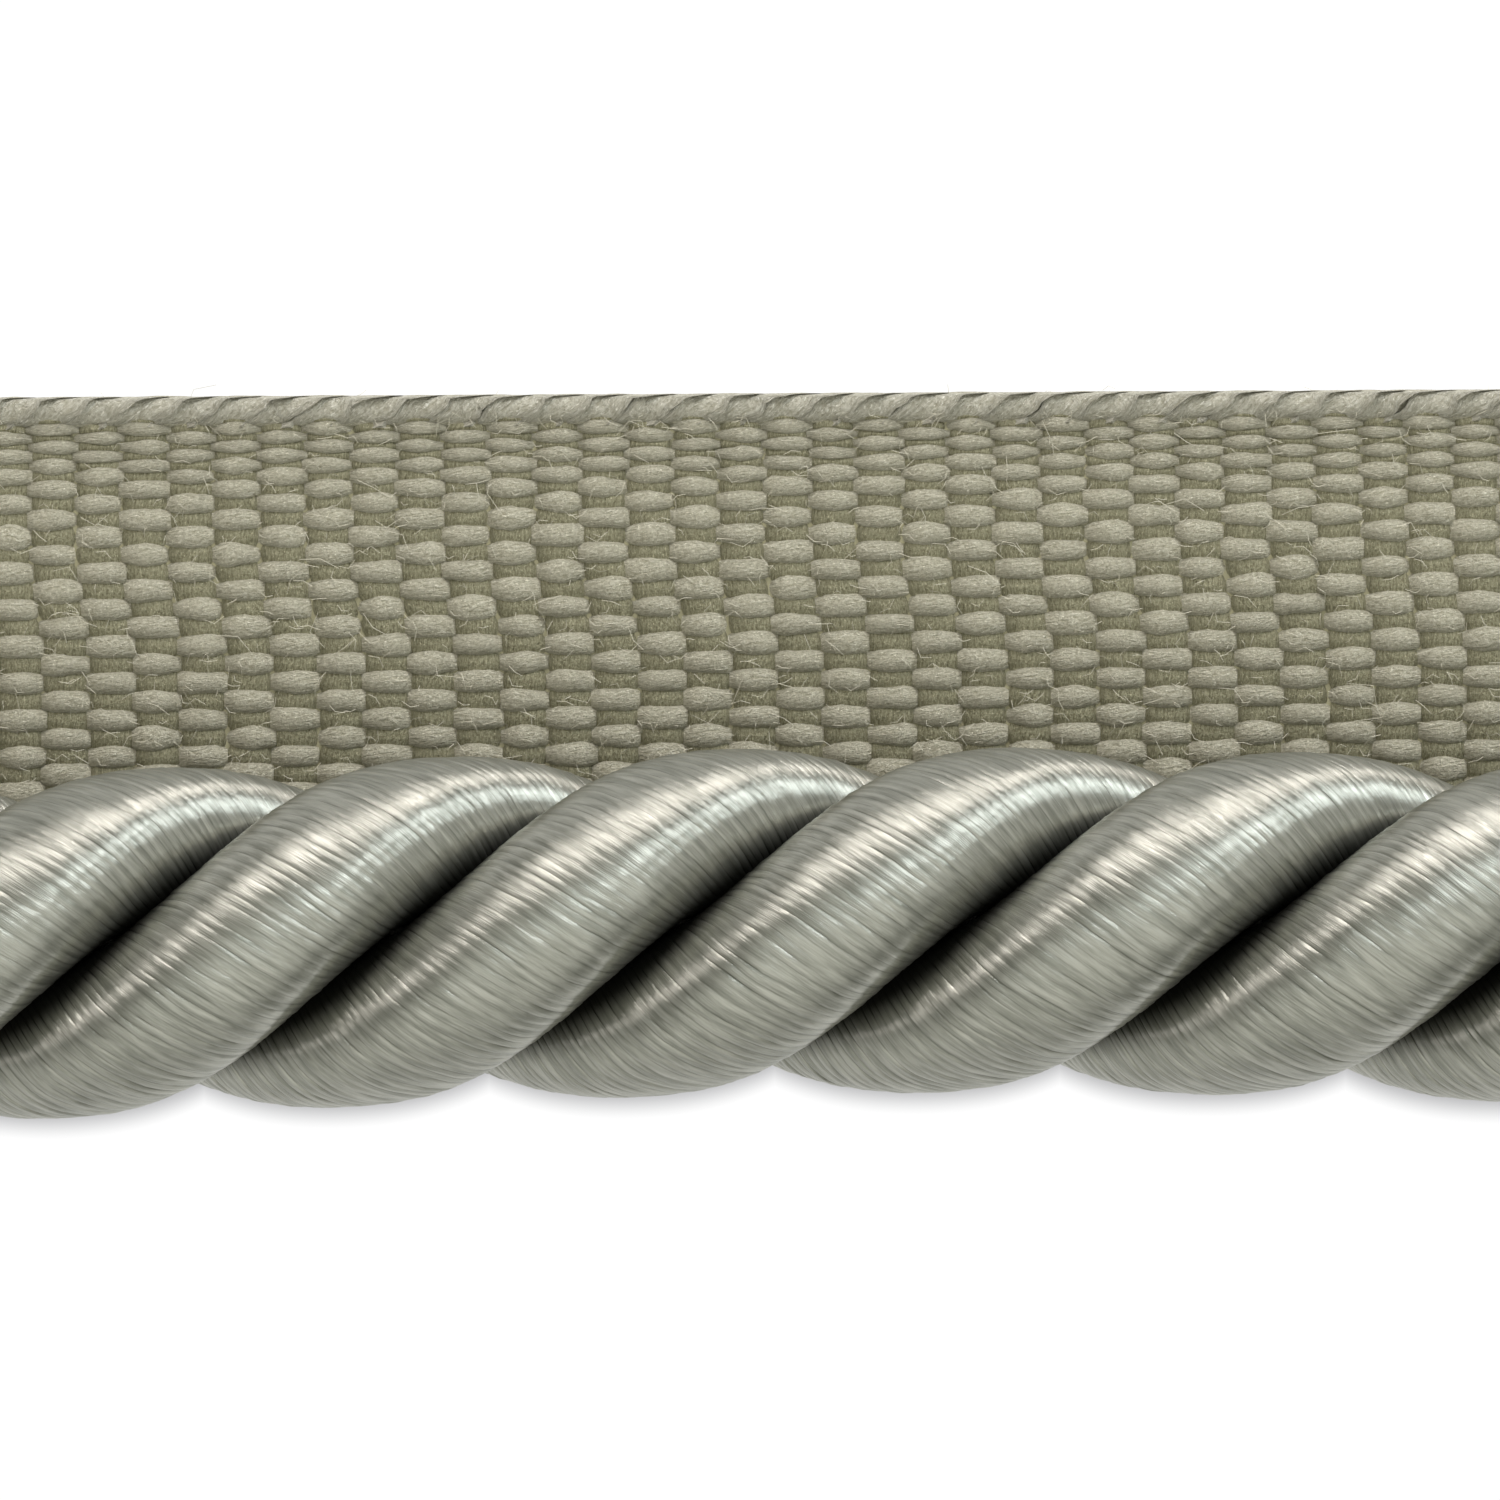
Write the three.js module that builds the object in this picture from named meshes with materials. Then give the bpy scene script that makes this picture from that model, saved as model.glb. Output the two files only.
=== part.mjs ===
// Twisted cord trim with a sewing lip: a three-strand cord laid against a flat woven tape.
// Millimetres. X runs along the trim, Y across it (the lip is on the +Y side), Z up.
// The trim lies on its back, so the tape's underside is the plane z = 0. The origin is on that
// plane, at the middle of the length, on the sewing line where the lip leaves the cord.

import * as THREE from 'three';

// Cord
const STRANDS = 3;
const CORD_DIAMETER = 9.5;
const LAY = 23.7; // length in which a strand goes once round the cord
const LAYS = 3; // whole lays, so that lengths can be butted end to end
const STRAND_DEPTH = 4.3; // radial size of a strand pressed between its neighbours
const STRAND_WIDTH = 5.62; // its size across, seen in a square cut through the cord
const FRONT_PHASE = 88.7; // degrees from the top to strand 1 at the middle of the length
const BOW = 0.39; // the cord wanders this far each way across its length
const BOW_CREST = 4; // where along X it comes nearest to the lip
const LEAN = 0.115; // sewing drags the cord's outer side along by this share of its width
const LEAN_FADE = 9; // the lean dies out over this length, so both ends are cut square

// Tape
const TAPE_WIDTH = 15.9;
const TAPE_THICKNESS = 1.05;
const SELVEDGE_ROUND = 0.5; // radius of the tape's rounded edges

// Fit
const GAP = 0.3; // clearance between the cord and the tape
const STRAND_GAP = 0.4; // between strands in a square cut, which leaves 0.3 square to their sides
const HALF_WIDTH = 10.06; // the trim reaches this far on either side of the sewing line

// Fineness
const STEPS_PER_LAY = 20;
const OUTLINE_POINTS = 20;

const LENGTH = LAY * LAYS;
const CORD_RADIUS = CORD_DIAMETER / 2;
const CORD_AXIS_Y = -HALF_WIDTH + BOW + CORD_RADIUS;
const CORD_AXIS_Z = TAPE_THICKNESS + GAP + CORD_RADIUS;
const STRAND_CENTRE = CORD_RADIUS - STRAND_DEPTH / 2;

const satin = new THREE.MeshStandardMaterial({ color: 0x9a9c90, roughness: 0.35, metalness: 0.3 });
const cotton = new THREE.MeshStandardMaterial({ color: 0x959077, roughness: 0.9, metalness: 0 });

// A strand's outline in a square cut: an ellipse, flattened where its neighbours press on it.
// The shape's x is the distance from the cord's axis and its y runs against the cord's turn.
function strandOutline() {
  const wedge = Math.PI / STRANDS;
  const points = [];
  for (let i = 0; i < OUTLINE_POINTS; i += 1) {
    const turn = (2 * Math.PI * i) / OUTLINE_POINTS;
    const outward = STRAND_CENTRE + (STRAND_DEPTH / 2) * Math.cos(turn);
    const across = (STRAND_WIDTH / 2) * Math.sin(turn);
    const past = Math.cos(wedge) * Math.abs(across) - Math.sin(wedge) * outward + STRAND_GAP / 2;
    const pressed = Math.max(past, 0);
    points.push(new THREE.Vector2(
      outward + pressed * Math.sin(wedge),
      across - Math.sign(across) * pressed * Math.cos(wedge),
    ));
  }
  return new THREE.Shape(points);
}

// How much of the cord's lean is left at a distance along the trim: 1 inside, 0 at both ends.
function leanAt(x) {
  const t = THREE.MathUtils.clamp((LENGTH / 2 - Math.abs(x)) / LEAN_FADE, 0, 1);
  return LEAN * t * t * (3 - 2 * t);
}

// The cord's sideways place, which wanders once from end to end.
function cordY(x) {
  return CORD_AXIS_Y + BOW * Math.cos((2 * Math.PI * (x - BOW_CREST)) / LENGTH);
}

// One strand: its outline drawn out along X and turned about the cord's axis as it goes.
function strand(number) {
  const geometry = new THREE.ExtrudeGeometry(strandOutline(), {
    depth: LENGTH,
    steps: LAYS * STEPS_PER_LAY,
    bevelEnabled: false,
  });
  const start = THREE.MathUtils.degToRad(FRONT_PHASE) + (2 * Math.PI * number) / STRANDS;
  const place = geometry.attributes.position;
  for (let i = 0; i < place.count; i += 1) {
    const outward = place.getX(i);
    const across = place.getY(i);
    const along = place.getZ(i) - LENGTH / 2;
    const turn = start + (2 * Math.PI * along) / LAY;
    const side = outward * Math.sin(turn) - across * Math.cos(turn);
    const up = outward * Math.cos(turn) + across * Math.sin(turn);
    place.setXYZ(i, along - leanAt(along) * side, cordY(along) + side, CORD_AXIS_Z + up);
  }
  geometry.computeVertexNormals();
  const mesh = new THREE.Mesh(geometry, satin);
  mesh.name = `strand_${number + 1}`;
  return mesh;
}

// The tape: a flat strip with rounded selvedges, half of it under the cord and half of it the lip.
function tape() {
  const r = SELVEDGE_ROUND;
  const shape = new THREE.Shape();
  shape.moveTo(r, 0);
  shape.lineTo(TAPE_WIDTH - r, 0);
  shape.absarc(TAPE_WIDTH - r, r, r, -Math.PI / 2, 0);
  shape.lineTo(TAPE_WIDTH, TAPE_THICKNESS - r);
  shape.absarc(TAPE_WIDTH - r, TAPE_THICKNESS - r, r, 0, Math.PI / 2);
  shape.lineTo(r, TAPE_THICKNESS);
  shape.absarc(r, TAPE_THICKNESS - r, r, Math.PI / 2, Math.PI);
  shape.lineTo(0, r);
  shape.absarc(r, r, r, Math.PI, (3 * Math.PI) / 2);
  const geometry = new THREE.ExtrudeGeometry(shape, {
    depth: LENGTH,
    steps: LAYS,
    curveSegments: 4,
    bevelEnabled: false,
  });
  const mesh = new THREE.Mesh(geometry, cotton);
  mesh.name = 'tape';
  // The strip is drawn upright: its width runs along Y and its depth along X.
  mesh.rotation.set(Math.PI / 2, 0, Math.PI / 2, 'ZYX');
  mesh.position.set(-LENGTH / 2, HALF_WIDTH - TAPE_WIDTH, 0);
  return mesh;
}

const trim = new THREE.Group();
for (let number = 0; number < STRANDS; number += 1) {
  trim.add(strand(number));
}
trim.add(tape());

export default trim;
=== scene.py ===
import math

import bpy
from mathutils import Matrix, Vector


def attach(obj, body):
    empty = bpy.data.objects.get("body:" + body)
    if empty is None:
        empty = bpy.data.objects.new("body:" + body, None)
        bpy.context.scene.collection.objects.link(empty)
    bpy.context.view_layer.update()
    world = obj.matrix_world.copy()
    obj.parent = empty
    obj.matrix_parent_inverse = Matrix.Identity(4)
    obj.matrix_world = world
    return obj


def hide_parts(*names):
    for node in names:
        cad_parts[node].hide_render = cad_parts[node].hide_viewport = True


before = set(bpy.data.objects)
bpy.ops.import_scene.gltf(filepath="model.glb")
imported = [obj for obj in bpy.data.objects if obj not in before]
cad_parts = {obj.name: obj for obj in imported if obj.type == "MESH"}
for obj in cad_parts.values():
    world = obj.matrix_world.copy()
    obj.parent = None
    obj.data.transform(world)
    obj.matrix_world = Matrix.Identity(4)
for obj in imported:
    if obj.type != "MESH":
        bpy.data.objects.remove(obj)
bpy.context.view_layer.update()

# Sizes are in millimetres up to the points and objects themselves, which are in metres.
MM = 0.001
TURN = 2 * math.pi
SAME_POINT = 0.0000002
SHARP_EDGE = math.radians(50)
MAP = "winding"


class Amount:
    """A number that varies over a piece. Arithmetic on it adds Math nodes to its tree."""

    def __init__(self, tree, socket):
        self.tree = tree
        self.socket = socket

    def math(self, operation, *terms):
        made = self.tree.nodes.new("ShaderNodeMath")
        made.operation = operation
        for place, term in enumerate(terms):
            if isinstance(term, Amount):
                self.tree.links.new(term.socket, made.inputs[place])
            else:
                made.inputs[place].default_value = term
        return Amount(self.tree, made.outputs[0])

    def __add__(self, other):
        return self.math("ADD", self, other)

    def __radd__(self, other):
        return self.math("ADD", other, self)

    def __sub__(self, other):
        return self.math("SUBTRACT", self, other)

    def __rsub__(self, other):
        return self.math("SUBTRACT", other, self)

    def __mul__(self, other):
        return self.math("MULTIPLY", self, other)

    def __rmul__(self, other):
        return self.math("MULTIPLY", other, self)

    def __truediv__(self, other):
        return self.math("DIVIDE", self, other)

    def __pow__(self, other):
        return self.math("POWER", self, other)

    def sin(self):
        return self.math("SINE", self)

    def cos(self):
        return self.math("COSINE", self)

    def size(self):
        return self.math("ABSOLUTE", self)

    def root(self):
        return self.math("SQRT", self)

    def floor(self):
        return self.math("FLOOR", self)

    def part(self):
        return self.math("FRACT", self)

    def most(self, other):
        return self.math("MINIMUM", self, other)

    def least(self, other):
        return self.math("MAXIMUM", self, other)

    def sign(self, near_zero=0.0001):
        """-1 or 1, eased close to 0 so that nothing is divided by it."""
        return self / (self.size() + near_zero)

    def signed_power(self, power):
        return self.sign() * self.size() ** power

    def step(self, start, end):
        """0 up to start and 1 past end, eased between them."""
        t = ((self - start) / (end - start)).least(0.0).most(1.0)
        return t * t * (3.0 - 2.0 * t)


def add(tree, kind, settings=(), sockets=()):
    """Adds a node: first its settings, then a value or a link for each socket."""
    made = tree.nodes.new(kind)
    for name, value in dict(settings).items():
        setattr(made, name, value)
    for key, value in dict(sockets).items():
        source = value.socket if isinstance(value, Amount) else value
        if isinstance(source, bpy.types.NodeSocket):
            tree.links.new(source, made.inputs[key])
        else:
            made.inputs[key].default_value = source
    return made


def vector(tree, x, y, z):
    return add(tree, "ShaderNodeCombineXYZ", (), {"X": x, "Y": y, "Z": z}).outputs[0]


def axes(tree, source):
    """The X, Y and Z of a vector, as amounts."""
    parts = add(tree, "ShaderNodeSeparateXYZ", (), {0: source})
    return [Amount(tree, parts.outputs[axis]) for axis in range(3)]


def noise(tree, place, scale, detail=2.0, roughness=0.5):
    sockets = {"Vector": place, "Scale": scale, "Detail": detail, "Roughness": roughness}
    made = add(tree, "ShaderNodeTexNoise", (), sockets)
    return Amount(tree, made.outputs[0])


def grain(tree, along, across, seed, detail=2.0, roughness=0.5):
    """Noise that changes about once for each unit along and across. Its middle is 0.5."""
    return noise(tree, vector(tree, along, across, seed), 1.0, detail, roughness)


def blend(tree, factor, start, end):
    """A mix of two colours, each a value or a link."""
    sockets = {"Factor": factor, "A": start, "B": end}
    return add(tree, "ShaderNodeMix", {"data_type": "RGBA"}, sockets).outputs["Result"]


def new_material(name):
    """A material, with its tree and its shader."""
    made = bpy.data.materials.new(name)
    made.use_nodes = True
    return made, made.node_tree, made.node_tree.nodes["Principled BSDF"]


def placed(name, data):
    made = bpy.data.objects.new(name, data)
    bpy.context.collection.objects.link(made)
    return made


def shape_tree(name, sizes):
    """A Geometry Nodes tree with a named input for each size, and those inputs as amounts."""
    tree = bpy.data.node_groups.new(name, "GeometryNodeTree")
    tree.interface.new_socket("Geometry", in_out="OUTPUT", socket_type="NodeSocketGeometry")
    for size, value in sizes.items():
        kind = "NodeSocketInt" if isinstance(value, int) else "NodeSocketFloat"
        tree.interface.new_socket(size, in_out="INPUT", socket_type=kind)
    tree.interface.new_socket("Material", in_out="INPUT", socket_type="NodeSocketMaterial")
    entry = tree.nodes.new("NodeGroupInput")
    amounts = {size: Amount(tree, entry.outputs[size]) for size in sizes}
    amounts["Material"] = entry.outputs["Material"]
    return tree, amounts


def tube(tree, size):
    """A grid to roll up: around runs from 0 to 1 over its sides, and row numbers its rows."""
    grid = add(tree, "GeometryNodeMeshGrid", (), {
        "Size X": 1.0, "Size Y": 1.0, "Vertices X": size["Sides"], "Vertices Y": size["Rows"]})
    x, y, _ = axes(tree, add(tree, "GeometryNodeInputPosition").outputs[0])
    row = ((y + 0.5) * (size["Rows"] - 1.0) + 0.01).floor()
    return grid.outputs["Mesh"], x + 0.5, row


def numbered_tubes(tree, size, count, first):
    """Tubes to roll up: around and row run over each one, and order is its number."""
    grid, around, row = tube(tree, size)
    line = add(tree, "GeometryNodeMeshLine", (), {"Count": count})
    copies = add(tree, "GeometryNodeInstanceOnPoints", (),
                 {"Points": line.outputs[0], "Instance": grid})
    index = Amount(tree, add(tree, "GeometryNodeInputIndex").outputs[0])
    numbered = add(tree, "GeometryNodeStoreNamedAttribute",
                   {"data_type": "FLOAT", "domain": "INSTANCE"},
                   {"Geometry": copies.outputs[0], "Name": "order", "Value": index + first})
    whole = add(tree, "GeometryNodeRealizeInstances", (), {"Geometry": numbered.outputs[0]})
    order = add(tree, "GeometryNodeInputNamedAttribute", {"data_type": "FLOAT"},
                {"Name": "order"})
    return whole.outputs[0], around, row, Amount(tree, order.outputs[0])


def open_ends(size, row):
    """1 along a tube, and 0 in its first and last row, where it closes to a point."""
    return row.most(1.0) * (size["Rows"] - 1.0 - row).most(1.0)


def share_along(size, row):
    """How far along a tube a row is: 0 in its first two rows and 1 in its last two."""
    last = size["Rows"] - 3.0
    return (row - 1.0).least(0.0).most(last) / last


def finish_tubes(tree, size, tubes, spot, flat):
    """Gives the tubes their map, puts their points in place and closes them."""
    mapped = add(tree, "GeometryNodeStoreNamedAttribute",
                 {"data_type": "FLOAT2", "domain": "CORNER"},
                 {"Geometry": tubes, "Name": MAP, "Value": flat})
    shaped = add(tree, "GeometryNodeSetPosition", (),
                 {"Geometry": mapped.outputs[0], "Position": spot})
    closed = add(tree, "GeometryNodeMergeByDistance", (),
                 {"Geometry": shaped.outputs[0], "Distance": SAME_POINT})
    faced = add(tree, "GeometryNodeSetMaterial", (),
                {"Geometry": closed.outputs[0], "Material": size["Material"]})
    way_out = tree.nodes.new("NodeGroupOutput")
    tree.links.new(faced.outputs[0], way_out.inputs[0])
    return tree


def grow(name, tree, sizes, material):
    """Runs a tree with these sizes and keeps what it makes as a plain mesh on the root body."""
    seed = placed(name + "_seed", bpy.data.meshes.new(name + "_seed"))
    modifier = seed.modifiers.new("Shape", "NODES")
    modifier.node_group = tree
    for item in tree.interface.items_tree:
        if item.in_out == "INPUT":
            modifier[item.identifier] = material if item.name == "Material" else sizes[item.name]
    bpy.context.view_layer.update()
    evaluated = seed.evaluated_get(bpy.context.evaluated_depsgraph_get())
    mesh = bpy.data.meshes.new_from_object(evaluated)
    seed.modifiers.remove(modifier)
    bpy.data.objects.remove(seed)
    mesh.name = name
    mesh.shade_smooth()
    mesh.set_sharp_from_angle(angle=SHARP_EDGE)
    made = placed(name, mesh)
    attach(made, "root")
    return made


# Strands
# Each strand is a soft core of yarns with satin thread wound closely round it. Three of them are
# twisted to the right into a cord, where they press each other flat, and both ends are cut square.
LENGTH = 71.1
LAY = 23.7
CORD_RADIUS = 4.75
STRAND_DEPTH = 4.3
STRAND_WIDTH = 5.62
TAPE_THICKNESS = 1.05
TAPE_FROM = -5.84
TAPE_TO = 10.06
CORD_GAP = 0.24
AXIS_Y = -4.92
AXIS_Z = TAPE_THICKNESS + CORD_GAP + CORD_RADIUS
BOW = 0.39
BOW_CREST = 4.0
LEAN = 0.115
LEAN_FADE = 9.0
FRONT_PHASE = math.radians(88.7)
STRANDS = 3
STRAND_TURN = TURN / STRANDS
PRESS_ANGLE = STRAND_TURN / 2
PRESS_EASE = 0.02

THREADS = 435
THREAD_ROWS = 5
THREAD_ROUND = 15.6
SEAM = 0.02
SEAM_EASE = 0.12

STRAND_SIZES = {
    "Sides": 37,
    "Rows": THREADS * THREAD_ROWS + 1,
    "Rows per thread": THREAD_ROWS,
    "Thread pitch": 0.1893,
    "Starts": 30,
    "Ring slant": 0.5,
    "Thread relief": 0.032,
    "Slack": 0.1,
    "Unevenness": 0.035,
    "Wander": 0.26,
    "Length": LENGTH,
    "Lay": LAY,
    "Start angle": 0.0,
    "Cord radius": CORD_RADIUS,
    "Depth": STRAND_DEPTH,
    "Width": STRAND_WIDTH,
    "Closeness": 0.03,
    "Cord Y": AXIS_Y,
    "Cord Z": AXIS_Z,
    "Bow": BOW,
    "Bow crest": BOW_CREST,
    "Lean": LEAN,
    "Cap depth": 1.9,
    "Seed": 1.0,
}


def wound_strand_tree():
    tree, size = shape_tree("Wound strand", STRAND_SIZES)
    grid, around, row = tube(tree, size)
    thread = row / size["Rows per thread"]
    turn = (around - 0.5) * TURN

    # The winding meets itself on the strand's hidden inner side, where it runs smooth.
    open_side = (around.step(SEAM, SEAM_EASE)
                 * (1.0 - around.step(1.0 - SEAM_EASE, 1.0 - SEAM)))
    low = grain(tree, around * 5.0, thread * 0.16, size["Seed"])
    wave = grain(tree, around * 3.0, thread * 0.22, size["Seed"] + 7.0, 3.0)
    single = grain(tree, around * 9.0, thread.floor() * 3.7, size["Seed"] + 3.0)
    loose = grain(tree, around * 3.0, (thread + 0.5).floor() * 2.3, size["Seed"] + 5.0)
    ridge = (thread.part() * math.pi).sin() ** 0.5 - 1.0
    ridge_height = size["Thread relief"] * ridge * (0.25 + loose.step(0.3, 0.62))
    swell = (low - 0.5) * size["Unevenness"] + (single - 0.5) * size["Slack"]
    relief = (swell + ridge_height) * open_side

    # A turn of the winding starts out slanted, and gains on the last by all the threads abreast.
    middle = (size["Rows"] - 1.0) / 2.0
    pitch = size["Thread pitch"]
    along = ((row - middle) / size["Rows per thread"] * pitch
             + size["Ring slant"] * turn.sin()
             + (around - 0.5) * size["Starts"] * pitch
             + (wave - 0.5) * size["Wander"] * open_side)

    half = size["Length"] / 2.0
    past_end = (along.size() - half).least(0.0)
    shrink = 1.0 - (past_end / size["Cap depth"]).most(1.0)
    x = along.least(0.0 - half).most(half)

    # The outline is an ellipse, pressed flat against its neighbours on both sides.
    centre = size["Cord radius"] - size["Depth"] / 2.0
    half_width = size["Width"] / 2.0
    outward = centre + (size["Depth"] / 2.0 + relief) * turn.cos()
    across = (half_width + relief) * turn.sin()
    past = (across.size() * math.cos(PRESS_ANGLE) - outward * math.sin(PRESS_ANGLE)
            + size["Closeness"] / 2.0)
    pressed = (past + (past * past + PRESS_EASE).root()) * 0.5
    toward = across.sign(0.001)
    outward = outward + pressed * math.sin(PRESS_ANGLE)
    across = across - toward * pressed * math.cos(PRESS_ANGLE)
    outward = centre + (outward - centre) * shrink
    across = across * shrink

    angle = size["Start angle"] + x / size["Lay"] * TURN
    side = outward * angle.sin() - across * angle.cos()
    up = outward * angle.cos() + across * angle.sin()
    lean = size["Lean"] * (half - x.size()).step(0.0, LEAN_FADE)
    bend = (x - size["Bow crest"]) / size["Length"] * TURN
    spot = vector(tree, (x - lean * side) * MM,
                  (size["Cord Y"] + size["Bow"] * bend.cos() + side) * MM,
                  (size["Cord Z"] + up) * MM)

    # The winding's own map: millimetres along the thread, and the number of the thread.
    flat = vector(tree, around * THREAD_ROUND, thread, 0.0)
    return finish_tubes(tree, size, grid, spot, flat)


# The satin's look: its thread, painted shade on its flanks in the creases, and the core's matt
# yarns where it is cut.
SATIN_DEEP = (0.265, 0.27, 0.23, 1.0)
SATIN_PALE = (0.435, 0.435, 0.38, 1.0)
# The next colour is near black, painted into the creases between the strands as shade.
CREASE_SHADE = (0.02, 0.02, 0.015, 1.0)
CORE_DEEP = (0.10, 0.095, 0.07, 1.0)
CORE_PALE = (0.52, 0.50, 0.41, 1.0)
CORE_YARNS_PER_METRE = 1600.0
CORE_FUZZ_PER_METRE = 9000.0

satin, tree, shader = new_material("satin thread")
along_thread, thread, _ = axes(tree, add(tree, "ShaderNodeUVMap", {"uv_map": MAP}).outputs[0])
filament = grain(tree, along_thread * 0.6, thread * 6.0, 0.0, 3.0, 0.6)
tone = grain(tree, along_thread * 0.35, thread * 1.3, 5.0, 3.0, 0.65)
# Dark lines painted along some of the gaps between threads stand for shade in the grooves.
open_line = grain(tree, along_thread * 0.5, (thread + 0.5).floor() * 5.3, 9.0)
line = ((thread.part() - 0.5).size() * 2.0).step(0.72, 1.0) * open_line.step(0.35, 0.6)
thread_colour = blend(tree, tone.step(0.3, 0.7) * (1.0 - line * 0.3), SATIN_DEEP, SATIN_PALE)

# Where the strands press each other the satin is painted near black, as shade in the creases, and
# the dark lines between threads add to it. The flank is in degrees from the strand's outermost
# line.
flank = (along_thread / THREAD_ROUND - 0.5) * 360.0
near_flank = (0.0 - flank).step(85.0, 117.0)
far_flank = flank.step(103.0, 124.0) * 0.85
painted_crease_shade = ((near_flank + far_flank + line * 0.3) * 0.95).most(0.97)
satin_colour = blend(tree, painted_crease_shade, thread_colour, CREASE_SHADE)

where = add(tree, "ShaderNodeTexCoord").outputs["Object"]
from_middle = axes(tree, where)[0].size()
cut = from_middle.step((LENGTH / 2 - 0.03) * MM, (LENGTH / 2 - 0.01) * MM)
cells = add(tree, "ShaderNodeTexVoronoi", {"voronoi_dimensions": "3D"},
            {"Vector": where, "Scale": CORE_YARNS_PER_METRE})
off_yarn = Amount(tree, cells.outputs["Distance"])
fuzz = noise(tree, where, CORE_FUZZ_PER_METRE, 3.0, 0.7)
# Each cut yarn is painted darker towards its edge: painted shade in the gaps between the yarns.
core_tone = (1.0 - off_yarn.step(0.1, 0.75)) * (0.4 + 0.6 * fuzz)
core_colour = blend(tree, core_tone, CORE_DEEP, CORE_PALE)
tree.links.new(blend(tree, cut, satin_colour, core_colour), shader.inputs["Base Color"])
shiny = 0.78 * (1.0 - cut)
tree.links.new(shiny.socket, shader.inputs["Metallic"])
height = filament * (1.0 - cut) + (fuzz * 0.8 - off_yarn * 2.0) * cut
bump = add(tree, "ShaderNodeBump", (), {"Height": height, "Strength": 0.5, "Distance": 0.00005})
tree.links.new(bump.outputs[0], shader.inputs["Normal"])
shader.inputs["Roughness"].default_value = 0.32
shader.inputs["Anisotropic"].default_value = 0.95
shader.inputs["Anisotropic Rotation"].default_value = 0.25
lie = add(tree, "ShaderNodeTangent", {"direction_type": "UV_MAP", "uv_map": MAP})
tree.links.new(lie.outputs[0], shader.inputs["Tangent"])

FIRST_SEED = 11.3
SEED_STEP = 8.1
strand_tree = wound_strand_tree()
for number in range(STRANDS):
    sizes = dict(STRAND_SIZES)
    sizes["Start angle"] = FRONT_PHASE + number * STRAND_TURN
    sizes["Seed"] = FIRST_SEED + SEED_STEP * number
    strand = grow(f"wound_strand_{number + 1}", strand_tree, sizes, satin)
    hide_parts(f"strand_{number + 1}")


# Tape
# A flat tape of matt cotton in plain weave: fine warp ends run along it, closer together in both
# selvedges, over and under broad soft picks. It lies flat, its near half under the cord.
PICKS = 56
PICK_PITCH = LENGTH / PICKS
PICK_SHIFT = -0.676
MIDDLE_PICK = (PICKS - 1) / 2
PICK_ROWS = 6
ENDS = 41
MIDDLE_END = (ENDS - 1) / 2
LIP_ENDS = 26
END_ROWS = 3
WEAVE_MIDDLE = 0.5
BEAT = 0.33
BEAT_FROM = 2.6
BEAT_TO = 6.0
PICK_MARGIN = 0.1
TABLE_GAP = 0.01
BEYOND_CUT = 0.01

# The first warp end lies this far in. They are close at first, and wider apart from the ninth on.
FIRST_END = 0.22
CLOSE_PITCH = 0.23
PITCH_GAIN = 0.285
CLOSE_ENDS = 9.0
GAIN_EASE = 5.8
GAIN_AT_EDGE = 0.157


def from_selvedge(order):
    """How many warp ends lie between this one and the nearer selvedge."""
    return MIDDLE_END - (order - MIDDLE_END).size()


def end_from_edge(order):
    """How far in from the selvedge a warp end lies, by its number."""
    wide = order - CLOSE_ENDS
    gain = (wide + (wide * wide + GAIN_EASE).root()) * 0.5 - GAIN_AT_EDGE
    return FIRST_END + CLOSE_PITCH * order + PITCH_GAIN * gain


def across_tape(order):
    """Where a warp end, or a place between two, lies across the tape, counted from the lip."""
    reach = end_from_edge(from_selvedge(order))
    far = order.math("GREATER_THAN", order, MIDDLE_END)
    return TAPE_TO - reach + far * (TAPE_FROM - TAPE_TO + 2.0 * reach)


def beat(y):
    """How far the picks are pushed along at a place across the tape."""
    return BEAT / 2 - BEAT * y.step(BEAT_FROM, BEAT_TO)


def cut_square(x):
    """Keeps what would pass the tape's ends just outside its cut."""
    kept = x.least(-LENGTH / 2).most(LENGTH / 2)
    return kept + (x - kept) * BEYOND_CUT


WARP_SIZES = {
    "Sides": 9,
    "Rows per pick": PICK_ROWS,
    "Rows": PICKS * PICK_ROWS + 3,
    "First end": 0,
    "Ends": LIP_ENDS,
    "Crimp": 0.21,
    "Half width": 0.225,
    "Inner gain": 0.115,
    "Still half width": 0.2,
    "Half thickness": 0.155,
    "Seed": 5.0,
}


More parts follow.
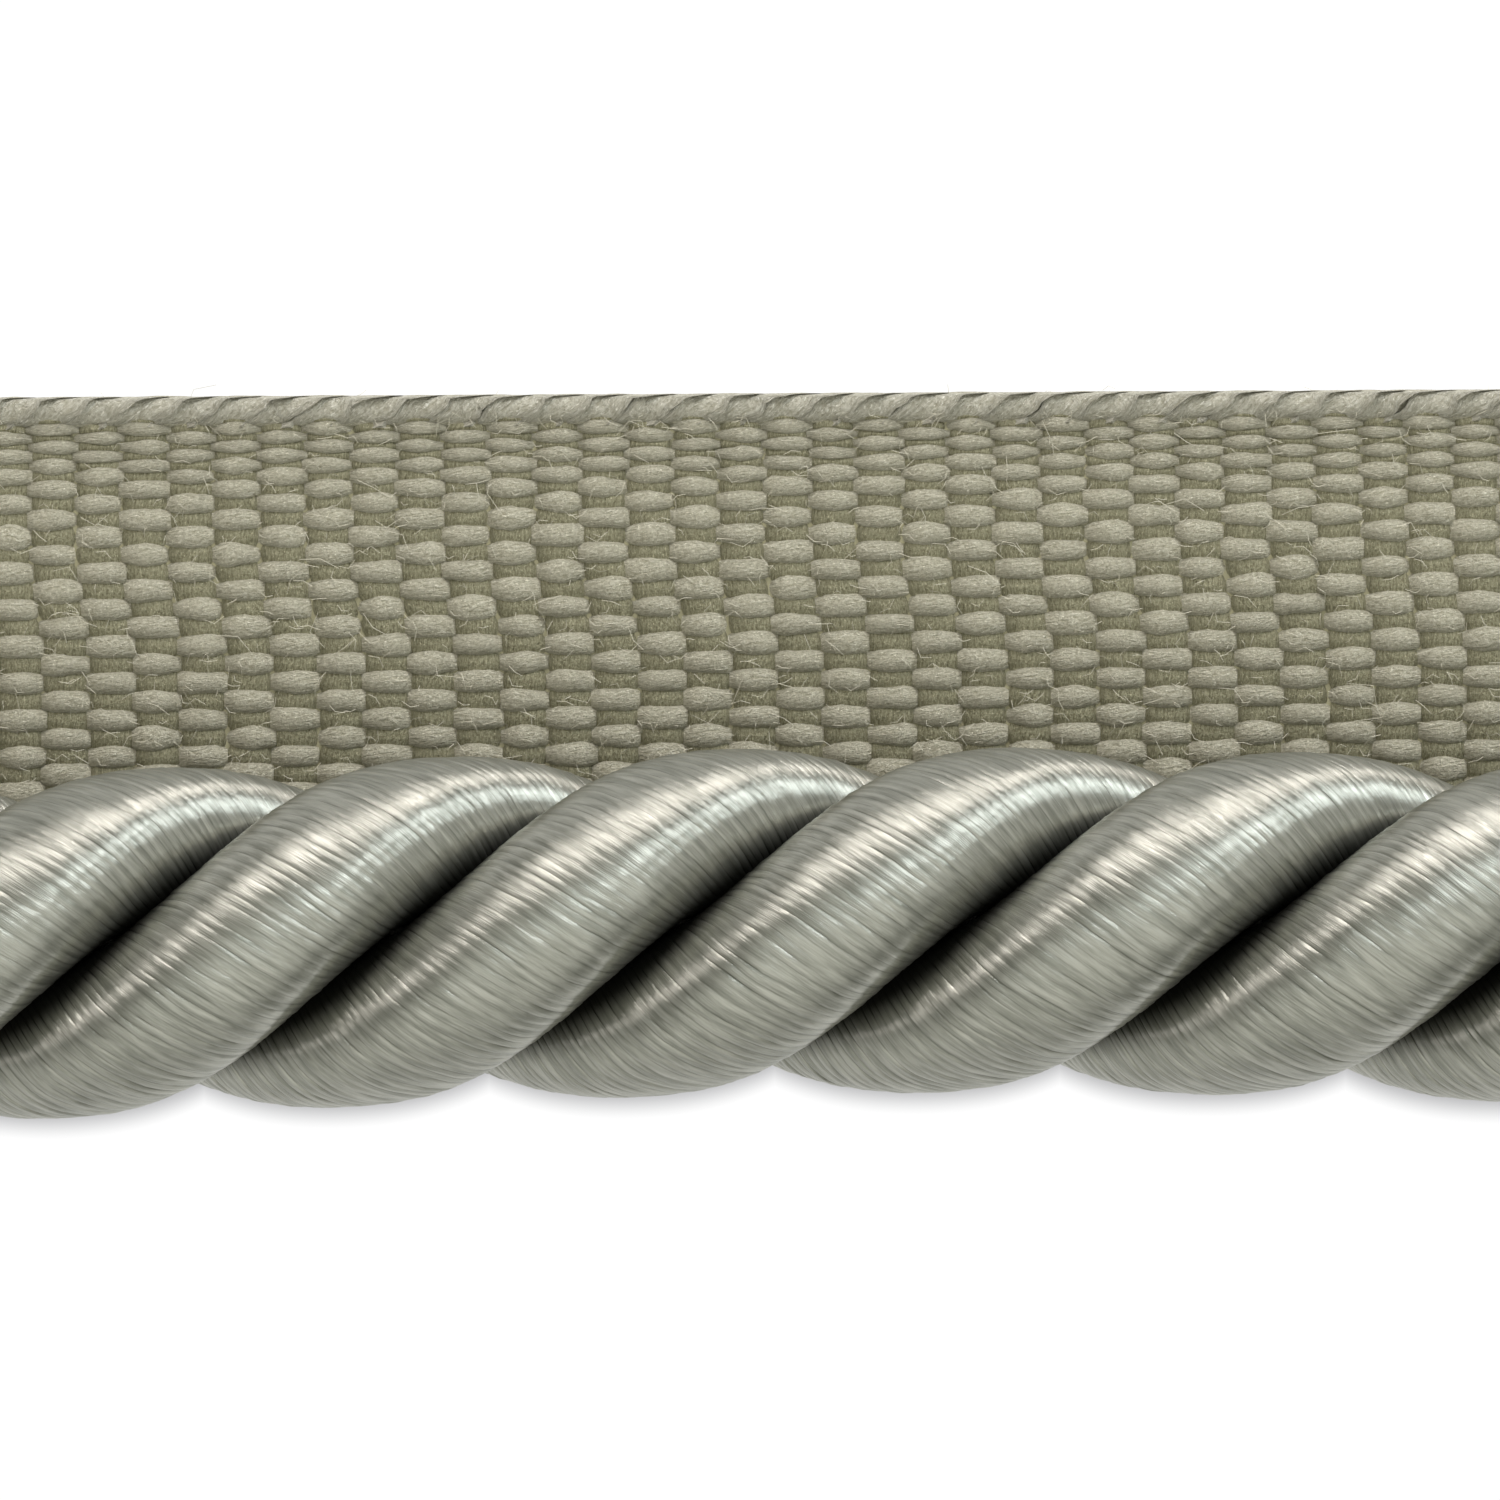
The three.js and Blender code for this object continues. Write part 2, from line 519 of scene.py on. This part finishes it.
def warp_tree():
    tree, size = shape_tree("Warp ends", WARP_SIZES)
    tubes, around, row, order = numbered_tubes(tree, size, size["Ends"], size["First end"])
    turn = around * TURN
    open_end = open_ends(size, row)
    last = size["Rows"] - 3.0
    x = (row - 1.0).least(0.0).most(last) / size["Rows per pick"] * PICK_PITCH - LENGTH / 2
    y = across_tape(order)

    # Between its crowns an end dips and narrows, a little early or late, and its girth varies.
    slack = grain(tree, x * 0.9, order * 3.3, size["Seed"]) - 0.5
    late = (grain(tree, x * 0.6 + 9.0, order * 2.9, size["Seed"]) - 0.5) * 0.5
    fat = grain(tree, x * 1.1 + 40.0, order * 5.1, size["Seed"], 3.0) - 0.5
    wave = ((x - beat(y) - PICK_SHIFT) / PICK_PITCH + MIDDLE_PICK + order + late) * math.pi
    crown = wave.cos()

    # The outermost ends lie still inside the selvedge, and every other one goes over and under.
    inner = from_selvedge(order).step(4.0, 12.0)
    woven = from_selvedge(order).step(2.1, 2.9)
    lift = crown.signed_power(0.75 - 0.2 * inner) * size["Crimp"] * woven
    plump = 0.45 + 0.27 * inner + (0.55 - 0.27 * inner) * crown.size() ** 0.6
    woven_width = (size["Half width"] + size["Inner gain"] * inner) * plump * (1.0 + fat * 1.1)
    half_width = woven_width * woven + size["Still half width"] * (1.0 - woven)
    half_height = size["Half thickness"] * (1.3 - 0.3 * woven)
    z = WEAVE_MIDDLE + lift + half_height * turn.sin().signed_power(0.7) * open_end
    spot = vector(tree, x * MM,
                  (y + half_width * turn.cos() * open_end + slack * 0.12) * MM,
                  z * MM)
    flat = vector(tree, x, around * 1.6 + order * 2.0, 0.0)
    return finish_tubes(tree, size, tubes, spot, flat)


WEFT_SIZES = {
    "Sides": 11,
    "Rows per end": END_ROWS,
    "Rows": (ENDS + 1) * END_ROWS + 1,
    "Picks": PICKS + 1,
    "Crimp": 0.09,
    "Half width": 0.42,
    "Open gain": 0.2,
    "Half thickness": 0.21,
    "Seed": 9.0,
}


def weft_tree():
    """The picks lie across, fuller in the open cloth than where the selvedge draws them in."""
    tree, size = shape_tree("Weft picks", WEFT_SIZES)
    tubes, around, row, order = numbered_tubes(tree, size, size["Picks"], 0.0)
    turn = around * TURN
    open_end = open_ends(size, row)
    end = row / size["Rows per end"] - 1.0
    near_edge = (end + 1.0).most(ENDS - end)
    y = across_tape(end).least(TAPE_FROM + PICK_MARGIN).most(TAPE_TO - PICK_MARGIN)
    crown = ((end + order) * math.pi).cos()
    slack = grain(tree, y * 0.8, order * 4.1, size["Seed"]) - 0.5
    half_width = (size["Half width"] + size["Open gain"] * near_edge.step(-2.0, 7.0)) * open_end
    x = ((order - MIDDLE_PICK) * PICK_PITCH + PICK_SHIFT + beat(y) + slack * 0.1
         + half_width * turn.cos())
    z = WEAVE_MIDDLE - size["Crimp"] * crown + size["Half thickness"] * turn.sin() * open_end
    spot = vector(tree, cut_square(x) * MM, y * MM, z * MM)
    flat = vector(tree, y, around * 3.0 + order * 4.0, 0.0)
    return finish_tubes(tree, size, tubes, spot, flat)


SWING = 5.9
SWING_BACK = 1.4
TURN_SIZES = {
    "Sides": 9,
    "Rows": 25,
    "Turns": PICKS,
    "Edge": TAPE_TO,
    "Side": 1.0,
    "Reach": 0.46,
    "Depth": 0.24,
    "Gain": 0.66,
    "Half width": 0.54,
    "Half thickness": 0.11,
    "Knee": 0.34,
    "Seed": 3.0,
}


def selvedge_tree():
    """The weft wraps the outermost ends and gains a pick with each turn, like a rope's lay."""
    tree, size = shape_tree("Selvedge turns", TURN_SIZES)
    tubes, around, row, order = numbered_tubes(tree, size, size["Turns"], 0.0)
    turn = around * -TURN * size["Side"]
    open_end = open_ends(size, row)
    swing = share_along(size, row) * SWING - SWING_BACK
    slack = grain(tree, order * 2.7, swing * 0.9, size["Seed"]) - 0.5
    taper = 0.4 + 0.6 * (swing + SWING_BACK).step(0.0, 1.7)
    width = size["Half width"] * (1.0 + slack * 0.6) * taper * open_end
    proud = size["Half thickness"] * open_end * turn.sin().signed_power(0.6)
    slope = (size["Gain"] ** 2.0 + size["Reach"] ** 2.0).root()
    sideways = size["Gain"] / slope * width * turn.cos()
    x = ((order - MIDDLE_PICK) * PICK_PITCH + PICK_SHIFT + beat(size["Edge"]) + slack * 0.8
         + size["Gain"] * swing + size["Reach"] / slope * width * turn.cos())

    # Past the knee the turns are drawn tight, so that the tape's edge runs straight.
    inward = size["Reach"] + size["Half thickness"] - 0.04
    outward = (size["Reach"] + proud) * swing.sin() - sideways * swing.cos() - inward
    straight = outward.most(0.0 - size["Knee"]) + (outward + size["Knee"]).least(0.0) * 0.2
    y = size["Edge"] + size["Side"] * (straight + size["Knee"] * 0.64)
    z = WEAVE_MIDDLE + (size["Depth"] + proud) * swing.cos() + sideways * swing.sin()
    spot = vector(tree, cut_square(x) * MM, y * MM, z.least(TABLE_GAP) * MM)
    flat = vector(tree, swing * 0.6, around * 1.6 + order * 2.0, 0.0)
    return finish_tubes(tree, size, tubes, spot, flat)


FIBRE_END_MARGIN = 1.2
FIBRE_EDGE = 0.6
FIBRE_SIZES = {
    "Sides": 4,
    "Rows": 5,
    "Fibres": 2600,
    "From": -1.6,
    "To": TAPE_TO + 0.03,
    "Height": WEAVE_MIDDLE + 0.29,
    "Drop at edge": 0.35,
    "Arch": 0.1,
    "Bow": 0.8,
    "Least length": 0.2,
    "More length": 0.35,
    "Rare length": 0.9,
    "Half thickness": 0.008,
}


def fibre_tree():
    """Loose fibres lie on the yarns: short, mostly along the tape, each a little bowed."""
    tree, size = shape_tree("Loose fibres", FIBRE_SIZES)
    tubes, around, row, order = numbered_tubes(tree, size, size["Fibres"], 0.0)
    turn = around * TURN
    open_end = open_ends(size, row)
    along = share_along(size, row) - 0.5

    def chance(number):
        made = add(tree, "ShaderNodeTexWhiteNoise", {"noise_dimensions": "2D"},
                   {"Vector": vector(tree, order * 0.37, number, 0.0)})
        return Amount(tree, made.outputs["Value"])

    heading = (chance(1.3) - 0.5) + (chance(2.3) - 0.5) * chance(3.3) * 6.4
    length = (size["Least length"] + size["More length"] * chance(4.3)
              + size["Rare length"] * chance(5.3) ** 20.0)
    bend = (chance(6.3) - 0.5) * size["Bow"] * length
    arch = 1.0 - 4.0 * along * along
    x = (chance(7.3) - 0.5) * (LENGTH - 2 * FIBRE_END_MARGIN)
    y = size["From"] + chance(8.3) * (size["To"] - size["From"])
    across = bend * arch + size["Half thickness"] * turn.cos() * open_end
    x = x + along * length * heading.cos() - across * heading.sin()
    y = y + along * length * heading.sin() + across * heading.cos()
    edge = y.step(TAPE_TO - FIBRE_EDGE, TAPE_TO)
    z = (size["Height"] + size["Arch"] * arch * (0.4 + chance(9.3)) - size["Drop at edge"] * edge
         + size["Half thickness"] * turn.sin() * open_end)
    spot = vector(tree, x * MM, y * MM, z * MM)
    flat = vector(tree, along, order * 0.31, 0.0)
    return finish_tubes(tree, size, tubes, spot, flat)


def cotton_yarn(name, deep, pale):
    """Matt spun cotton: fibres lie along the yarn with a slight twist, and some stand off it."""
    made, tree, shader = new_material(name)
    run, girth, _ = axes(tree, add(tree, "ShaderNodeUVMap", {"uv_map": MAP}).outputs[0])
    twisted = girth + run * 0.12
    fibres = grain(tree, run * 3.6, twisted * 19.0, 0.0, 4.0, 0.75)
    strands = grain(tree, run * 0.8, twisted * 3.5, 4.0)
    fluff = grain(tree, run * 10.0, twisted * 15.0, 8.0, 3.0, 0.7)
    # Pale flecks painted into the colour stand for glints off the fibres.
    painted_glint = grain(tree, run * 10.0, twisted * 24.0, 2.0, 1.0).step(0.62, 0.72)
    tone = ((fibres * 0.55 + fluff * 0.45).step(0.34, 0.66) * 0.75 + painted_glint * 0.7).most(1.0)
    tree.links.new(blend(tree, tone, deep, pale), shader.inputs["Base Color"])
    height = fibres * 0.6 + strands * 0.5 + fluff * 0.6
    bump = add(tree, "ShaderNodeBump", (),
               {"Height": height, "Strength": 1.0, "Distance": 0.00024})
    tree.links.new(bump.outputs[0], shader.inputs["Normal"])
    shader.inputs["Roughness"].default_value = 0.7
    shader.inputs["Specular IOR Level"].default_value = 0.3
    return made


edge_cotton = cotton_yarn("selvedge cotton", (0.42, 0.395, 0.29, 1.0), (0.93, 0.91, 0.79, 1.0))
warp_cotton = cotton_yarn("warp cotton", (0.46, 0.43, 0.295, 1.0), (0.99, 0.96, 0.79, 1.0))
# The weft and the felt sheet get a darker copy of the warp cotton: painted shade deep in the
# windows.
shaded_weft_cotton = cotton_yarn("weft cotton", (0.24, 0.225, 0.13, 1.0), (0.70, 0.67, 0.455, 1.0))
fibre_cotton, _, shader = new_material("loose cotton fibre")
shader.inputs["Base Color"].default_value = (0.66, 0.63, 0.50, 1.0)
shader.inputs["Roughness"].default_value = 0.6

warp = warp_tree()
lip_warp = grow("warp_of_lip", warp, WARP_SIZES, warp_cotton)
hidden_ends = dict(WARP_SIZES, **{"First end": LIP_ENDS, "Ends": ENDS - LIP_ENDS})
hidden_warp = grow("warp_under_cord", warp, hidden_ends, warp_cotton)
picks = grow("weft_picks", weft_tree(), WEFT_SIZES, shaded_weft_cotton)
selvedge = selvedge_tree()
lip_turns = grow("selvedge_of_lip", selvedge, TURN_SIZES, edge_cotton)
hidden_edge = dict(TURN_SIZES, Edge=TAPE_FROM, Side=-1.0)
hidden_turns = grow("selvedge_under_cord", selvedge, hidden_edge, edge_cotton)

# Between the yarns the cloth is felted with their loose fibres, a thin sheet that closes it.
FELT_HALF_THICKNESS = 0.06
FELT_SIDE_MARGIN = 0.25
FELT_END_MARGIN = 0.05
cloth_mesh = bpy.data.meshes.new("tape_cloth")
corners = [(x * MM, y * MM, z * MM)
           for x in (-LENGTH / 2 + FELT_END_MARGIN, LENGTH / 2 - FELT_END_MARGIN)
           for y in (TAPE_FROM + FELT_SIDE_MARGIN, TAPE_TO - FELT_SIDE_MARGIN)
           for z in (WEAVE_MIDDLE - FELT_HALF_THICKNESS, WEAVE_MIDDLE + FELT_HALF_THICKNESS)]
cloth_mesh.from_pydata(corners, [], [
    (0, 1, 3, 2), (4, 6, 7, 5), (0, 4, 5, 1), (2, 3, 7, 6), (0, 2, 6, 4), (1, 5, 7, 3)])
cloth_mesh.materials.append(shaded_weft_cotton)
cloth = placed("tape_cloth", cloth_mesh)
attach(cloth, "root")
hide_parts("tape")
fibres = grow("loose_fibres", fibre_tree(), FIBRE_SIZES, fibre_cotton)

# Floor
# A white table lit from within, so that it stays white round the trim and lights it from below.
# Only under the cord, and in a narrow soft band along its edge, is a grey shadow painted into it.
TABLE_HALF = 2
SHADE_WIDTH = 0.8
SHADE = (0.45, 0.45, 0.46, 1.0)
WHITE = (1.0, 1.0, 1.0, 1.0)
floor_mesh = bpy.data.meshes.new("floor")
floor_mesh.from_pydata(
    [(-TABLE_HALF, -TABLE_HALF, 0), (TABLE_HALF, -TABLE_HALF, 0),
     (TABLE_HALF, TABLE_HALF, 0), (-TABLE_HALF, TABLE_HALF, 0)], [], [(0, 1, 2, 3)])
floor = placed("floor", floor_mesh)
white, tree, shader = new_material("white table")
shader.inputs["Base Color"].default_value = (0.02, 0.02, 0.02, 1.0)
shader.inputs["Roughness"].default_value = 0.9
shader.inputs["Specular IOR Level"].default_value = 0.0

# The lowest strand's outline, turned by its phase there, says how far out the cord reaches.
where = axes(tree, add(tree, "ShaderNodeTexCoord").outputs["Object"])
x = where[0] / MM
y = where[1] / MM
phase = FRONT_PHASE + math.pi / 2 + (x - LEAN * CORD_RADIUS) / LAY * TURN
turned = ((phase / STRAND_TURN + 0.5).part() - 0.5) * STRAND_TURN
deep = turned.cos() * (STRAND_DEPTH / 2)
wide = turned.sin() * (STRAND_WIDTH / 2)
reach = turned.cos() * (CORD_RADIUS - STRAND_DEPTH / 2) + (deep * deep + wide * wide).root()
bow = ((x - BOW_CREST) / LENGTH * TURN).cos() * BOW
# A narrow painted shadow fades out past that reach; under the cord the floor stays painted grey.
past_cord = (AXIS_Y + bow - reach - y).step(-0.2, SHADE_WIDTH)
past_end = (x.size() - LENGTH / 2).step(-0.4, SHADE_WIDTH)
# The painted shadow fades out past the trim's ends and towards the tape.
outside_painted_shadow = past_cord.least(y.step(0.0, 4.0)).least(past_end)
tree.links.new(blend(tree, outside_painted_shadow, SHADE, WHITE), shader.inputs["Emission Color"])
shader.inputs["Emission Strength"].default_value = 1.02
floor_mesh.materials.append(white)

# Light
# A pale room fills in. Small cool and warm soft boxes beyond the lip rake the satin, a low one
# lights it from the left, and a broad one overhead lights the tape.
room = bpy.data.worlds.new("room")
room.use_nodes = True
room.node_tree.nodes["Background"].inputs["Color"].default_value = (0.99, 1.0, 0.90, 1.0)
room.node_tree.nodes["Background"].inputs["Strength"].default_value = 0.32
bpy.context.scene.world = room
BOX_DISTANCE = 0.6


def soft_box(name, heading, height, size, power, colour):
    """A soft box at a heading from +X and a height, both in degrees, facing the trim."""
    way = Vector((math.cos(math.radians(heading)) * math.cos(math.radians(height)),
                  math.sin(math.radians(heading)) * math.cos(math.radians(height)),
                  math.sin(math.radians(height))))
    lamp = bpy.data.lights.new(name, "AREA")
    lamp.shape = "RECTANGLE"
    lamp.size, lamp.size_y = size
    lamp.energy = power
    lamp.color = colour
    made = placed(name, lamp)
    made.location = way * BOX_DISTANCE
    made.rotation_euler = (-way).to_track_quat("-Z", "Y").to_euler()


soft_box("low cool box", 40, 5, (0.11, 0.08), 0.74, (0.86, 0.94, 1.0))
soft_box("cool box", 53, 27, (0.11, 0.08), 1.06, (0.88, 0.94, 1.0))
soft_box("low warm box", 77, 14, (0.11, 0.08), 1.16, (1.0, 0.94, 0.94))
soft_box("warm box", 102, 36, (0.11, 0.08), 0.80, (1.0, 0.93, 0.94))
soft_box("high box", 122, 44, (0.16, 0.12), 0.22, (1.0, 0.93, 0.92))
soft_box("left box", 190, 6, (0.30, 0.10), 0.40, (1.0, 0.92, 0.93))
soft_box("top box", 285, 62, (0.90, 0.70), 2.00, (1.0, 1.0, 0.97))
bpy.context.scene.view_settings.view_transform = "Standard"

# Camera
# It looks straight down from far off through a long lens, so that the cord's side hides nothing,
# and is turned a touch on its axis.
LENS = 800
SENSOR = 36
VIEW_WIDTH = 0.0413
VIEW_HEIGHT = 0.005
VIEW_SHIFT = 0.00017
camera = placed("camera", bpy.data.cameras.new("camera"))
camera.data.lens = LENS
camera.data.sensor_width = SENSOR
camera.data.clip_start = 0.01
camera.data.clip_end = 10
camera.location = (0.0, VIEW_SHIFT, VIEW_WIDTH * LENS / SENSOR + VIEW_HEIGHT)
camera.rotation_euler = (0.0, 0.0, math.radians(-0.3))
bpy.context.scene.camera = camera
